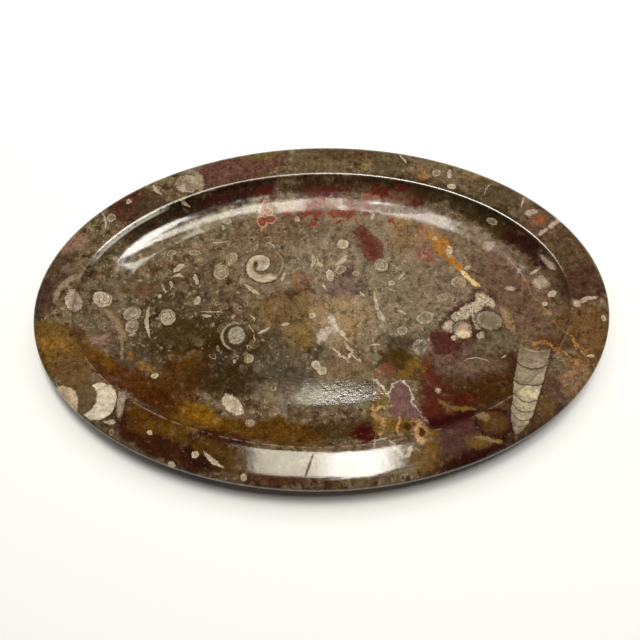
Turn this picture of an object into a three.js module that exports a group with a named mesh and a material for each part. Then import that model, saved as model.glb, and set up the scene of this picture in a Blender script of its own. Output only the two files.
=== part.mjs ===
// An oval serving plate, carved and polished from one slab of fossil limestone.
// It is a single solid: a gently rounded rim, a coved well and a flat foot.
// Millimetres, +X along the plate, +Y across it, +Z up, with the origin under the middle of the foot.
import * as THREE from "three";

// Driving dimensions.
const LENGTH = 380;
const WIDTH = 250;
const HEIGHT = 22;
const RIM_WIDTH = 26; // from the outer edge to the edge of the well, the same all round
const RIM_CREST = 12.5; // how far in from the outer edge the rim is highest
const RIM_FALL = 1.4; // how much lower the rim is at its outer edge than at its crest
const RIM_DIP = 0.8; // and how much lower at the edge of the well
const EDGE_THICKNESS = 6; // of the plate at its outer edge
const WELL_DEPTH = 13;
const COVE_WIDTH = 31; // of the curved wall between the rim and the well's flat floor
const FOOT_INSET = 44; // from the outer edge to the edge of the flat foot
const BELLY = 0.62; // how far out, of its width, the underside keeps low before it climbs
const BELLY_RISE = 3.5; // height of the underside's bend above the foot

// Radii of the worn edges.
const TOP_EDGE_RADIUS = 2.5;
const LOWER_EDGE_RADIUS = 1.5;
const WELL_EDGE_RADIUS = 0.9;
const LOWER_EDGE_FACES = -56; // degrees above level that the underside faces where it meets the edge
const TOP_EDGE_FACES = 55; // and the same for the rim's top
const WELL_EDGE_FACES = 112; // where the rim's top turns over the edge of the well
const WALL_FACES = 165; // and where that edge meets the well's wall

// Facets.
const FACETS_ROUND = 96;
const FACETS = { belly: 4, lowerEdge: 3, topEdge: 4, rimOuter: 4, rimInner: 4, wellEdge: 3, cove: 10 };

const HALF_LENGTH = LENGTH / 2;
const HALF_WIDTH = WIDTH / 2;
const RIM_TOP_AT_EDGE = HEIGHT - RIM_FALL;
const EDGE_BOTTOM = RIM_TOP_AT_EDGE - EDGE_THICKNESS;
const WELL_EDGE = HALF_LENGTH - RIM_WIDTH;
const FLOOR_EDGE = WELL_EDGE - COVE_WIDTH;
const FLOOR_HEIGHT = HEIGHT - WELL_DEPTH;
const FOOT_EDGE = HALF_LENGTH - FOOT_INSET;

// An arc of the section, from one angle to another, in degrees from +X.
function arc(x, z, radiusX, radiusZ, from, to, steps) {
  const clockwise = to < from;
  const start = THREE.MathUtils.degToRad(from);
  const end = THREE.MathUtils.degToRad(to);
  return new THREE.EllipseCurve(x, z, radiusX, radiusZ, start, end, clockwise).getPoints(steps);
}

// The worn corners of the outer edge, each turned from where the next stretch meets it.
function lowerEdge() {
  const x = HALF_LENGTH - LOWER_EDGE_RADIUS;
  const z = EDGE_BOTTOM + LOWER_EDGE_RADIUS;
  return arc(x, z, LOWER_EDGE_RADIUS, LOWER_EDGE_RADIUS, LOWER_EDGE_FACES, 0, FACETS.lowerEdge);
}

function topEdge() {
  const x = HALF_LENGTH - TOP_EDGE_RADIUS;
  const z = RIM_TOP_AT_EDGE - TOP_EDGE_RADIUS;
  return arc(x, z, TOP_EDGE_RADIUS, TOP_EDGE_RADIUS, 0, TOP_EDGE_FACES, FACETS.topEdge);
}

// The underside, which swells out from the foot to the lower edge.
function belly() {
  const foot = new THREE.Vector2(FOOT_EDGE, 0);
  const end = lowerEdge()[0];
  const bend = new THREE.Vector2(THREE.MathUtils.lerp(foot.x, end.x, BELLY), BELLY_RISE);
  return new THREE.QuadraticBezierCurve(foot, bend, end).getPoints(FACETS.belly).slice(0, -1);
}

// The worn turn from the rim's top into the well's wall.
function wellEdge() {
  const x = WELL_EDGE + WELL_EDGE_RADIUS;
  const z = HEIGHT - RIM_DIP - WELL_EDGE_RADIUS;
  return arc(x, z, WELL_EDGE_RADIUS, WELL_EDGE_RADIUS, WELL_EDGE_FACES, WALL_FACES, FACETS.wellEdge);
}

// The point at the rim's height from which a stretch runs straight into the start or end of an edge.
function tangentAtRimHeight(edgePoint, faces) {
  const slope = Math.tan(THREE.MathUtils.degToRad(faces - 90));
  return new THREE.Vector2(edgePoint.x + (HEIGHT - edgePoint.y) / slope, HEIGHT);
}

// The rim's top, which falls gently from its crest to either side.
function rimTop() {
  const outer = topEdge().at(-1);
  const inner = wellEdge()[0];
  const crest = new THREE.Vector2(HALF_LENGTH - RIM_CREST, HEIGHT);
  const outerBend = tangentAtRimHeight(outer, TOP_EDGE_FACES);
  const innerBend = tangentAtRimHeight(inner, WELL_EDGE_FACES);
  const outerHalf = new THREE.QuadraticBezierCurve(outer, outerBend, crest);
  const innerHalf = new THREE.QuadraticBezierCurve(crest, innerBend, inner);
  return [
    ...outerHalf.getPoints(FACETS.rimOuter).slice(1),
    ...innerHalf.getPoints(FACETS.rimInner).slice(1),
  ];
}

// The well's wall, steep at its top, which runs out long and level into the floor.
function cove() {
  const top = wellEdge().at(-1);
  const floor = new THREE.Vector2(FLOOR_EDGE, FLOOR_HEIGHT);
  const reach = top.x - floor.x;
  const rise = top.y - floor.y;
  const wallBend = new THREE.Vector2(floor.x + 0.94 * reach, floor.y + 0.42 * rise);
  const floorBend = new THREE.Vector2(floor.x + 0.36 * reach, floor.y);
  return new THREE.CubicBezierCurve(top, wallBend, floorBend, floor).getPoints(FACETS.cove).slice(1);
}

// The half section through the long axis, from the middle of the foot to the middle of the floor.
function section() {
  return [
    new THREE.Vector2(0, 0),
    ...belly(),
    ...lowerEdge(),
    ...topEdge(),
    ...rimTop(),
    ...wellEdge().slice(1),
    ...cove(),
    new THREE.Vector2(0, FLOOR_HEIGHT),
  ];
}

// The point of the plan that lies inside the oval outline by inset, square to the outline.
function insideOval(angle, inset) {
  const across = new THREE.Vector2(Math.cos(angle) / HALF_LENGTH, Math.sin(angle) / HALF_WIDTH);
  across.normalize();
  return new THREE.Vector2(
    HALF_LENGTH * Math.cos(angle) - inset * across.x,
    HALF_WIDTH * Math.sin(angle) - inset * across.y,
  );
}

// Turns the section about the vertical and then draws each round ring out to an oval one.
function plateGeometry() {
  const geometry = new THREE.LatheGeometry(section(), FACETS_ROUND);
  geometry.rotateX(Math.PI / 2);
  const position = geometry.getAttribute("position");
  for (let i = 0; i < position.count; i += 1) {
    const round = new THREE.Vector2(position.getX(i), position.getY(i));
    const radius = round.length();
    if (radius > 0) {
      const oval = insideOval(Math.atan2(round.y, round.x), HALF_LENGTH - radius);
      position.setXY(i, oval.x, oval.y);
    }
  }
  geometry.computeVertexNormals();
  return geometry;
}

const fossilLimestone = new THREE.MeshStandardMaterial({
  name: "fossil_limestone",
  color: new THREE.Color(0.36, 0.29, 0.22),
  roughness: 0.18,
  metalness: 0,
});

const plate = new THREE.Mesh(plateGeometry(), fossilLimestone);
plate.name = "plate";

const root = new THREE.Group();
root.add(plate);

export default root;
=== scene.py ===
# An oval serving plate of polished fossil limestone, on a plain pale floor under soft studio light.
import math

import bpy
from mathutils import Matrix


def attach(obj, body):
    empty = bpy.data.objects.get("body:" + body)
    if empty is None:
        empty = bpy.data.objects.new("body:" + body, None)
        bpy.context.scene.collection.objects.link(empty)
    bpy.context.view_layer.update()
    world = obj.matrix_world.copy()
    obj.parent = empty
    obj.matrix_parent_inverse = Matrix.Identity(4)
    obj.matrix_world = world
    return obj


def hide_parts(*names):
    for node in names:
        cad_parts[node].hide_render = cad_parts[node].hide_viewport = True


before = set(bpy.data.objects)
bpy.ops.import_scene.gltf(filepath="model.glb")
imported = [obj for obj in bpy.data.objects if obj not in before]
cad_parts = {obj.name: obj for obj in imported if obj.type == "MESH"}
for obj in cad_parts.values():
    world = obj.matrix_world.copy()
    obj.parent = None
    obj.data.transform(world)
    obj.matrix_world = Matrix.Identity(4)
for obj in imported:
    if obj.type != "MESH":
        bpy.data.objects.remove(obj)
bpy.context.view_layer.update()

MM = 0.001

# The plate's sizes, in millimetres.
HALF_LENGTH = 190
HALF_WIDTH = 125
HEIGHT = 22
RIM_WIDTH = 26
RIM_CREST = 11  # how far in from the edge the rim is highest
RIM_FLAT_FROM = 5  # the rim's curve leans out to these two, level with its crest
RIM_FLAT_TO = 21
RIM_FALL = 1.4  # from the crest out to the edge
RIM_DIP = 0.55  # from the crest in to the well
EDGE_THICKNESS = 6
WELL_DEPTH = 13
COVE_WIDTH = 31
COVE_WALL_BEND = (0.94, 0.42)  # where its curve leaves the wall, as shares out and up
COVE_FLOOR_BEND = 0.36  # and the floor, as a share out
FOOT_INSET = 44
BELLY_BEND = 0.62  # where the belly's curve bends, as a share of its way out from the foot
BELLY_RISE = 3.5
TOP_EDGE_RADIUS = 2.5
LOWER_EDGE_RADIUS = 1.5
WELL_EDGE_RADIUS = 1.2
POINTS_ROUND = 576

# Where a rounded edge ends: how far up from level, in degrees, the surface faces there.
LOWER_EDGE_FACES = -56
TOP_EDGE_FACES = 55
WELL_EDGE_FACES = 112
WALL_FACES = 165

RIM_TOP_AT_EDGE = HEIGHT - RIM_FALL
EDGE_BOTTOM = RIM_TOP_AT_EDGE - EDGE_THICKNESS
FLOOR_HEIGHT = HEIGHT - WELL_DEPTH


def arc(x, z, radius, start, end, steps):
    """Points of the section along an arc, from one angle to another, in degrees from +X."""
    turns = [math.radians(start + (end - start) * i / steps) for i in range(steps + 1)]
    return [(x + radius * math.cos(t), z + radius * math.sin(t)) for t in turns]


def bend(corners, steps):
    """Points of the section along the Bezier curve that three or four corners give."""
    degree = len(corners) - 1
    points = []
    for i in range(steps + 1):
        t = i / steps
        shares = [
            math.comb(degree, k) * (1 - t) ** (degree - k) * t**k for k in range(degree + 1)
        ]
        points.append(tuple(sum(s * c[k] for s, c in zip(shares, corners)) for k in range(2)))
    return points


def at_rim_height(point, faces):
    """Where the tangent at the end of an edge reaches the height of the rim's crest."""
    slope = math.tan(math.radians(faces - 90))
    return (point[0] + (HEIGHT - point[1]) / slope, HEIGHT)


def top_section():
    """The section from the outer edge over the rim and down the cove, as (inset, height)."""
    edge_x = HALF_LENGTH - TOP_EDGE_RADIUS
    edge_z = RIM_TOP_AT_EDGE - TOP_EDGE_RADIUS
    edge = arc(edge_x, edge_z, TOP_EDGE_RADIUS, 0, TOP_EDGE_FACES, steps=6)
    well_x = HALF_LENGTH - RIM_WIDTH + WELL_EDGE_RADIUS
    well_z = HEIGHT - RIM_DIP - WELL_EDGE_RADIUS
    well = arc(well_x, well_z, WELL_EDGE_RADIUS, WELL_EDGE_FACES, WALL_FACES, steps=5)
    crest = (HALF_LENGTH - RIM_CREST, HEIGHT)
    outer = (HALF_LENGTH - RIM_FLAT_FROM, HEIGHT)
    rim = bend((edge[-1], at_rim_height(edge[-1], TOP_EDGE_FACES), outer, crest), steps=10)
    inner = (HALF_LENGTH - RIM_FLAT_TO, HEIGHT)
    rim += bend((crest, inner, at_rim_height(well[0], WELL_EDGE_FACES), well[0]), steps=12)[1:]
    top = well[-1]
    floor_x = HALF_LENGTH - RIM_WIDTH - COVE_WIDTH
    reach = top[0] - floor_x
    rise = top[1] - FLOOR_HEIGHT
    out, up = COVE_WALL_BEND
    wall_bend = (floor_x + out * reach, FLOOR_HEIGHT + up * rise)
    floor_bend = (floor_x + COVE_FLOOR_BEND * reach, FLOOR_HEIGHT)
    cove = bend((top, wall_bend, floor_bend, (floor_x, FLOOR_HEIGHT)), steps=26)
    points = edge + rim[1:] + well[1:] + cove[1:]
    return [(HALF_LENGTH - x, z) for x, z in points]


def under_section():
    """The section from the outer edge down the belly to the foot, as (inset, height)."""
    x = HALF_LENGTH - LOWER_EDGE_RADIUS
    z = EDGE_BOTTOM + LOWER_EDGE_RADIUS
    edge = arc(x, z, LOWER_EDGE_RADIUS, 0, LOWER_EDGE_FACES, steps=5)
    foot = (HALF_LENGTH - FOOT_INSET, 0)
    middle = (foot[0] + (edge[-1][0] - foot[0]) * BELLY_BEND, BELLY_RISE)
    belly = bend((edge[-1], middle, foot), steps=14)
    return [(HALF_LENGTH - x, z) for x, z in edge + belly[1:]]


def select_cap(mesh, up):
    """Selects the one large cap that faces up, or down."""
    bpy.ops.mesh.select_mode(type="FACE")
    bpy.ops.mesh.select_all(action="DESELECT")
    bpy.ops.object.mode_set(mode="OBJECT")
    for face in mesh.polygons:
        face.select = len(face.vertices) > 4 and face.normal.z * up > 0.9
    bpy.ops.object.mode_set(mode="EDIT")


def carve(points, up):
    """Insets the selected cap ring by ring along the points of a section."""
    for (inset, height), (next_inset, next_height) in zip(points, points[1:]):
        bpy.ops.mesh.inset(
            thickness=(next_inset - inset) * MM,
            depth=(next_height - height) * up * MM,
            use_even_offset=True,
        )


def close_flat():
    """Closes a flat oval with even rings, then shrinking ones, and a fan at its middle."""
    for _ in range(3):
        bpy.ops.mesh.inset(thickness=5 * MM, depth=0, use_even_offset=True)
    for share in (0.75, 0.6, 0.4):
        bpy.ops.mesh.extrude_region_move()
        bpy.ops.transform.resize(value=(share, share, 1))
    bpy.ops.mesh.poke()


def make_plate():
    """Turns an oval disc into the plate: its top and then its underside are carved inwards."""
    bpy.ops.object.select_all(action="DESELECT")
    top = top_section()
    under = under_section()
    bpy.ops.mesh.primitive_cylinder_add(
        vertices=POINTS_ROUND,
        radius=1,
        depth=(top[0][1] - under[0][1]) * MM,
        end_fill_type="NGON",
    )
    plate = bpy.context.object
    plate.name = "polished_plate"
    bpy.ops.object.mode_set(mode="EDIT")
    bpy.ops.mesh.select_all(action="SELECT")
    bpy.ops.transform.resize(value=(HALF_LENGTH * MM, HALF_WIDTH * MM, 1))
    bpy.ops.transform.translate(value=(0, 0, (top[0][1] + under[0][1]) / 2 * MM))
    for points, up in ((top, 1), (under, -1)):
        select_cap(plate.data, up)
        carve(points, up)
        close_flat()
    bpy.ops.mesh.select_all(action="DESELECT")
    bpy.ops.object.mode_set(mode="OBJECT")
    bpy.ops.object.shade_smooth()
    return plate


plate = make_plate()


class Flow:
    """A number, colour or place in the stone's nodes, joined by Python's own operators."""

    nodes = None
    links = None

    def __init__(self, socket):
        self.socket = socket

    @classmethod
    def node(cls, kind, settings, sockets, output=0):
        """Adds a node, gives it its settings and then its sockets, and returns one output."""
        made = cls.nodes.new("ShaderNode" + kind)
        for name, value in settings.items():
            if name == "stops":
                fill_ramp(made.color_ramp, value)
            else:
                setattr(made, name, value)
        for name, value in sockets.items():
            if isinstance(value, Flow):
                cls.links.new(value.socket, made.inputs[name])
            else:
                made.inputs[name].default_value = value
        return cls(made.outputs[output])

    def other(self, output):
        """Another output of the node that this one comes from."""
        return Flow(self.socket.node.outputs[output])

    def maths(self, operation, *others):
        sockets = dict(enumerate((self, *others)))
        return Flow.node("Math", {"operation": operation}, sockets)

    def __add__(self, other):
        return self.maths("ADD", other)

    __radd__ = __add__

    def __mul__(self, other):
        return self.maths("MULTIPLY", other)

    __rmul__ = __mul__

    def __sub__(self, other):
        return self.maths("SUBTRACT", other)

    def __rsub__(self, other):
        return Flow.node("Math", {"operation": "SUBTRACT"}, {0: other, 1: self})

    def __truediv__(self, other):
        return self.maths("DIVIDE", other)

    def __abs__(self):
        return self.maths("ABSOLUTE")

    def least(self, other):
        return self.maths("MINIMUM", other)

    def most(self, other):
        return self.maths("MAXIMUM", other)

    def step(self, start, end, height=1):
        """A soft step from 0 at start to a height at end."""
        settings = {"interpolation_type": "SMOOTHSTEP"}
        if start < end:
            return Flow.node("MapRange", settings, {0: self, 1: start, 2: end, 3: 0, 4: height})
        return Flow.node("MapRange", settings, {0: self, 1: end, 2: start, 3: height, 4: 0})


def fill_ramp(ramp, stops):
    """Sets the stops of a colour ramp: the place and colour of each."""
    while len(ramp.elements) < len(stops):
        ramp.elements.new(1)
    for element, (place, colour) in zip(ramp.elements, stops):
        element.position = place
        element.color = colour


def vector_maths(operation, first, second, output=0):
    return Flow.node("VectorMath", {"operation": operation}, {0: first, 1: second}, output)


def dot(place, direction):
    return vector_maths("DOT_PRODUCT", place, direction, 1)


def shift(place, by, amount):
    """Moves a flat place by a pattern's colour, which is grey where it moves nothing."""
    centred = vector_maths("SUBTRACT", by, (0.5, 0.5, 0.5))
    sockets = {0: centred, 1: (amount, amount, 0), 2: place}
    return Flow.node("VectorMath", {"operation": "MULTIPLY_ADD"}, sockets)


def noise(place, size, detail=2, roughness=0.5, output=0):
    """A cloudy pattern whose lumps are about size millimetres across."""
    sockets = {"Vector": place, "Scale": 1 / size, "Detail": detail, "Roughness": roughness}
    return Flow.node("TexNoise", {}, sockets, output)


def swing(pattern, amount):
    """A pattern about 0 in place of 0.5, so that it can roughen a border to both sides."""
    return (pattern - 0.5) * amount


VEIL = 0.005  # what the polish throws back over every colour
DARKEST = 0.0015  # no share of a colour falls below this
GAIN = 0.85  # makes up for the strength of the light


def tone(colour):
    """The stone's own colour, from how it looks in even light: red, green, blue to 255."""
    if isinstance(colour, Flow):
        return colour
    shares = []
    for level in colour:
        level /= 255
        linear = level / 12.92 if level <= 0.04045 else ((level + 0.055) / 1.055) ** 2.4
        shares.append(max(linear - VEIL, DARKEST) * GAIN)
    return (*shares, 1)


def over(cover, below, above, way="MIX"):
    """Lays one colour over another. Each is a flow, or a colour as it looks in even light."""
    sockets = {0: cover, 6: tone(below), 7: tone(above)}
    return Flow.node("Mix", {"data_type": "RGBA", "blend_type": way}, sockets, 2)


def ramp(share, stops):
    """A ramp of colours along a share from 0 to 1. A stop is its place, colour and cover."""
    toned = [(place, (*tone(colour)[:3], cover)) for place, colour, cover in stops]
    return Flow.node("ValToRGB", {"stops": toned}, {0: share})


def measured(place, x, y, half_long, half_wide, turn):
    """How far a flat place lies along and across a shape, in the shape's half sizes.

    A flat place's third number is 1, so one dot product both turns it and centres it."""
    readings = []
    for heading, half in ((turn, half_long), (turn + 90, half_wide)):
        right = math.cos(math.radians(heading)) / half
        back = math.sin(math.radians(heading)) / half
        readings.append(dot(place, (right, back, -x * right - y * back)))
    return readings


def oval(place, x, y, half_long, half_wide, turn=0):
    """How far a place is from an oval's middle, squared: 1 on its outline."""
    along, across = measured(place, x, y, half_long, half_wide, turn)
    return along * along + across * across


def ovals(place, rows):
    """How far a place is from the nearest of several ovals, and 1 on their outlines."""
    nearest = oval(place, *rows[0])
    for row in rows[1:]:
        nearest = nearest.least(oval(place, *row))
    return nearest.maths("SQRT")


def sliver(place, x, y, half_long, half_wide, turn=0, bow=0):
    """How deep a place is in a bowed, pointed sliver: 1 in its middle and 0 at its outline."""
    along, across = measured(place, x, y, half_long, half_wide, turn)
    taper = 1 - along * along
    if bow:
        across = across + taper * (bow / half_wide)
    return taper - abs(across)


def slivers(place, rows):
    """The deepest of several slivers, as sliver() gives one."""
    deepest = sliver(place, *rows[0])
    for row in rows[1:]:
        deepest = deepest.most(sliver(place, *row))
    return deepest


def strand(*points):
    """Rows of ovals, end over end, along a vein: each point gives its x, its y and the width."""
    rows = []
    for (x, y, width), (next_x, next_y, next_width) in zip(points, points[1:]):
        reach = math.hypot(next_x - x, next_y - y)
        wide = (width + next_width) / 4
        turn = math.degrees(math.atan2(next_y - y, next_x - x))
        rows.append(((x + next_x) / 2, (y + next_y) / 2, reach / 2 + wide, wide, turn))
    return rows


# Colours of the stone, as they look in even light.
PALE = (140, 124, 101)
MID = (112, 96, 76)
DIM = (88, 72, 52)
OLIVE = (66, 51, 28)
SLATE = (88, 78, 60)
OCHRE = (112, 82, 36)
GOLD = (104, 72, 16)
RUST = (86, 44, 14)
PLUM = (112, 85, 68)
BLOOD = (68, 20, 12)
CREAM = (190, 173, 144)
BONE = (216, 204, 180)
BUFF = (158, 138, 112)
INK = (44, 34, 24)

# Clouds of colour in the stone: middle, half sizes and turn of each, how soft its border is,
# how strong it is, and its colour. Later ones lie over earlier ones.
CLOUDS = [
    # The grey-brown ground, lighter in the middle and right of the well.
    (45, 25, 75, 48, -8, 0.5, 0.75, PALE),
    (-25, 55, 60, 25, 0, 0.5, 0.35, PALE),
    (-100, 6, 34, 20, 0, 0.5, 0.7, DIM),
    (-80, -28, 52, 24, -14, 0.4, 0.85, OLIVE),
    (-92, -20, 34, 12, -6, 0.5, 0.8, (60, 44, 22)),
    (-116, 12, 14, 8, 10, 0.6, 0.7, (66, 50, 32)),
    (-60, -36, 26, 12, -10, 0.5, 0.8, (56, 42, 20)),
    (-139, -6, 18, 26, 10, 0.4, 0.6, MID),
    (-30, 60, 30, 10, 0, 0.5, 0.7, (106, 82, 56)),
    (80, 55, 26, 14, -20, 0.5, 0.7, (128, 102, 76)),
    (-20, -40, 26, 12, 0, 0.5, 0.8, SLATE),
    (80, 20, 18, 14, 0, 0.5, 0.5, MID),
]

# Stains that lie over the shell hash and hide most of it, in the same form.
STAINS = [
    # Plum and brown at the right, in the well and on the rim.
    (124, 10, 20, 36, 8, 0.35, 0.85, PLUM),
    (146, -6, 15, 30, 0, 0.35, 0.7, PLUM),
    (172, 28, 17, 24, -20, 0.35, 0.9, (90, 69, 48)),
    (176, 8, 16, 11, 10, 0.3, 0.9, (80, 53, 42)),
    (174, -26, 17, 20, 0, 0.35, 0.9, (112, 80, 48)),
    # The dark red-brown at the far right wall is painted shade.
    (140, 46, 14, 8, -40, 0.3, 0.8, (70, 28, 20)),
    (156, 57, 14, 12, -40, 0.35, 0.85, (90, 64, 52)),
    # The far rim.
    (-62, 105, 38, 10, 14, 0.25, 0.9, (104, 68, 58)),
    (-135, 75, 15, 16, 30, 0.3, 0.85, (76, 40, 32)),
    (-118, 77, 11, 8, -10, 0.2, 0.9, (80, 62, 44)),
    (-40, 117, 9, 4, 12, 0.5, 0.8, (112, 94, 52)),
    (18, 117, 30, 7, 0, 0.4, 0.7, (88, 66, 42)),
    (-2, 106, 14, 9, 0, 0.5, 0.75, (106, 88, 64)),
    (100, 91, 46, 13, -30, 0.4, 0.7, (116, 98, 74)),
    (126, 76, 16, 12, -30, 0.35, 0.85, (86, 71, 50)),
    (51, 108, 12, 11, 0, 0.15, 0.85, (93, 80, 56)),
    (74, 94, 4, 8, 10, 0.4, 0.8, (158, 108, 68)),
    (113, 96, 9, 5, -20, 0.5, 0.6, (140, 112, 76)),
    (113, 86, 8.5, 8, 0, 0.15, 0.8, (92, 80, 55)),
    (33, 104, 3, 6, -20, 0.5, 0.8, (140, 116, 74)),
    # The left rim.
    (-176, 30, 12, 24, -12, 0.35, 0.8, (82, 62, 46)),
    (-168, 46, 8, 6, 40, 0.5, 0.8, (150, 118, 96)),
    (-186, 4, 7, 14, -4, 0.35, 0.85, (74, 50, 44)),
    # Ochre at the lower left, on the rim and down into the well.
    (-168, -34, 25, 17, -38, 0.16, 0.95, OCHRE),
    (-172, -29, 12, 3, -18, 0.5, 0.7, (150, 108, 46)),
    (-160, -20, 8, 5, -40, 0.4, 0.7, (94, 64, 44)),
    (-156, -51, 17, 10, -38, 0.3, 0.9, (110, 82, 50)),
    (-122, -52, 34, 9, -32, 0.25, 0.9, RUST),
    (-144, -36, 12, 4, -34, 0.4, 0.7, (110, 76, 22)),
    (-87, -45, 15, 13, -10, 0.35, 0.9, (86, 54, 10)),
    (-122, -36, 17, 7, -28, 0.3, 0.8, (82, 68, 50)),
    (-100, -60, 24, 10, -28, 0.3, 0.8, (84, 50, 16)),
    (-78, -81, 27, 11, -20, 0.3, 0.9, GOLD),
    (-76, -76, 14, 5, -20, 0.5, 0.9, (132, 92, 24)),
    (-104, -68, 12, 9, -30, 0.4, 0.8, (70, 38, 8)),
    (-112, -92, 16, 6, -32, 0.35, 0.9, (74, 42, 42)),
    (-82, -99, 22, 7, -22, 0.35, 0.85, (70, 34, 20)),
    (-95, -88, 14, 5, -26, 0.4, 0.7, (98, 70, 18)),
    (-98, -93, 38, 12, -28, 0.2, 0.95, (60, 32, 12)),
    (-62, -100, 22, 12, -16, 0.2, 0.95, (56, 26, 4)),
    (-112, -81, 11, 7, -34, 0.3, 0.85, (88, 58, 12)),
    (-94, -88, 15, 5, -26, 0.35, 0.85, (98, 68, 18)),
    (-70, -97, 13, 4, -18, 0.4, 0.75, (88, 60, 18)),
    (-70, -107, 14, 5, -18, 0.3, 0.8, (44, 26, 14)),
    (-92, -18, 16, 10, 0, 0.35, 0.85, (72, 56, 30)),
    (-62, -52, 24, 11, -10, 0.3, 0.85, (56, 40, 16)),
    # The near wall of the well and the near rim.
    (-32, -88, 36, 8, -6, 0.3, 0.95, (94, 62, 8)),
    (14, -86, 22, 8, 0, 0.4, 0.9, (68, 50, 26)),
    (-48, -108, 18, 7, -10, 0.4, 0.8, (86, 60, 24)),
    (-20, -118, 30, 5, 0, 0.4, 0.8, (74, 38, 26)),
    (20, -112, 26, 9, 0, 0.4, 0.6, (92, 66, 46)),
    (27, -91, 7.5, 6, 0, 0.25, 0.95, BLOOD),
    (76, -99, 16, 10, 12, 0.35, 0.85, (74, 42, 36)),
    (66, -106, 9, 9, 0, 0.4, 0.8, (108, 78, 36)),
    (88, -97, 9, 6, 0, 0.4, 0.7, (106, 76, 30)),
    # Ochre and tan in the middle of the well, with a plum shadow.
    (-22, -4, 20, 16, 0, 0.25, 0.85, (122, 96, 60)),
    (13, -6, 21, 19, -10, 0.25, 0.85, (164, 136, 100)),
    (-12, -22, 12, 8, 0, 0.4, 0.75, (126, 102, 56)),
    (-12, 19, 9, 10, 0, 0.2, 0.8, (138, 106, 78)),
    (16, 15, 14, 7, 10, 0.35, 0.7, (108, 89, 82)),
    (19, 24, 4, 3.5, 0, 0.4, 0.8, (86, 60, 52)),
    (-21, 10, 2.2, 4, -20, 0.5, 0.8, (84, 54, 38)),
    (-12, 11.5, 10, 1.2, 0, 0.6, 0.8, (84, 56, 40)),
    (18, -45, 17, 10, -10, 0.3, 0.85, (126, 104, 76)),
    (10, -62, 30, 10, 0, 0.4, 0.6, SLATE),
    (-20, -50, 17, 8, 0, 0.35, 0.7, (70, 60, 46)),
    (22, 55, 12, 8, 0, 0.5, 0.6, (112, 94, 72)),
    (60, 50, 12, 7, 0, 0.5, 0.6, (146, 110, 78)),
    (-33, -22, 7, 7, 0, 0.4, 0.7, (84, 72, 54)),
    # Yellow-brown, and the dark chamber at the right of the well.
    (52, -27, 10, 6, 0, 0.5, 0.75, (66, 54, 36)),
    (50, -41, 10, 8, 0, 0.4, 0.8, (62, 42, 20)),
    (112, -92, 60, 20, 34, 0.3, 0.85, (78, 50, 34)),
    (98, -50, 32, 28, -8, 0.14, 0.95, (70, 44, 26)),
    (94, -41, 22, 13, -6, 0.4, 0.85, (114, 90, 74)),
    (108, -62, 20, 9, 20, 0.4, 0.8, (70, 44, 12)),
    (66, -50, 4, 15, 0, 0.4, 0.8, (96, 50, 22)),
    (90, -68, 8, 4, 0, 0.5, 0.6, (82, 22, 12)),
    (72, -66, 9, 18, 0, 0.35, 0.85, (88, 42, 30)),
    (78, -82, 18, 5, 8, 0.35, 0.9, (58, 14, 8)),
    (81, -28, 10, 7, -6, 0.2, 0.95, (86, 46, 42)),
    (100, -1, 17, 4.5, 16, 0.35, 0.8, (92, 58, 52)),
    (117, -28, 14, 7.5, 0, 0.25, 0.9, (104, 92, 70)),
    (124, -12, 3.5, 8, 10, 0.4, 0.8, (160, 130, 84)),
    # Below the orthoceras.
    (146, -68, 12, 20, -50, 0.35, 0.8, (96, 73, 60)),
    (137, -77, 9, 7, 30, 0.45, 0.8, (98, 76, 40)),
    (163, -50, 12, 9, 30, 0.35, 0.7, (110, 80, 46)),
    (150, -30, 8, 5, -40, 0.5, 0.7, (84, 50, 26)),
    (160, -60, 12, 10, -40, 0.4, 0.8, (150, 116, 86)),
    (152, 56, 16, 12, -40, 0.4, 0.8, (106, 82, 70)),
    # The maroon blot and the warm patches near it.
    (30, 57.5, 4.2, 4.6, 0, 0.25, 0.95, (98, 58, 48)),
    (36, 48, 7.4, 8, 20, 0.22, 0.95, (104, 66, 54)),
    (36.5, 39.5, 6, 4, -20, 0.3, 0.95, (104, 54, 42)),
    (56, 66, 7.5, 8.5, 0, 0.4, 0.8, (150, 120, 76)),
    (75, 58, 8, 8, -30, 0.5, 0.7, (150, 112, 84)),
    (73, 38, 6, 4, 0, 0.6, 0.7, (134, 84, 66)),
    (85, 47, 6, 7, 0, 0.5, 0.8, (162, 112, 52)),
    (118, 62, 14, 6, -35, 0.4, 0.6, (72, 54, 26)),
    # The far wall: dark stains, partly the stone's own colour and partly painted shade where the wall
    # lies in shade.
    (-70, 84, 40, 7, 18, 0.35, 0.9, (52, 12, 8)),
    (6, 93, 34, 6, 0, 0.35, 0.8, (58, 34, 20)),
    (62, 86, 22, 6, -14, 0.35, 0.7, (66, 34, 18)),
    (-112, 66, 28, 6, 34, 0.35, 0.85, (46, 36, 22)),
    (64, 90, 34, 5, -14, 0.4, 0.7, (52, 38, 20)),
    (114, 66, 28, 6, -36, 0.35, 0.8, (50, 38, 18)),
    # Two paler patches in the left of the well.
    (-126, 15, 16, 5, 4, 0.5, 0.6, (116, 88, 60)),
    (-143, -24, 5.5, 3.4, 0, 0.35, 0.8, (152, 116, 96)),
]

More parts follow.
